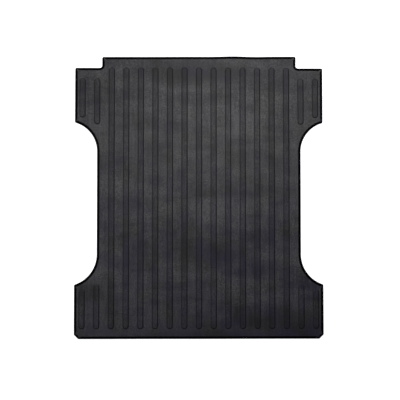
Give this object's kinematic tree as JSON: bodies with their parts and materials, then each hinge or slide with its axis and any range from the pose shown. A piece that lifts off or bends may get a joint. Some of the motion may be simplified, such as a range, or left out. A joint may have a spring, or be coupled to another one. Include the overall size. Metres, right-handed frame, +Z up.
{
  "type": "truck bed mat",
  "caption": "Flat moulded rubber liner for a pickup bed floor, cut in round the wheelhouses, with a tongue at the cab end, raised lengthwise ribs on top and short nibs underneath.",
  "frame": {"origin": "on the bed floor, under the middle of the mat's length and width, at the height of the nib tips", "axes": "+Y towards the cab (the tongue end), +X to the truck's right, +Z up through the ribbed side"},
  "size_m": [1.538, 1.748, 0.012],
  "materials": {
    "moulded_rubber": "dull black moulded rubber, finely pebbled between smoother ribs, with a smooth trimmed rim"
  },
  "bodies": {
    "root": {"bed_mat": "moulded_rubber"}
  },
  "joints": []
}
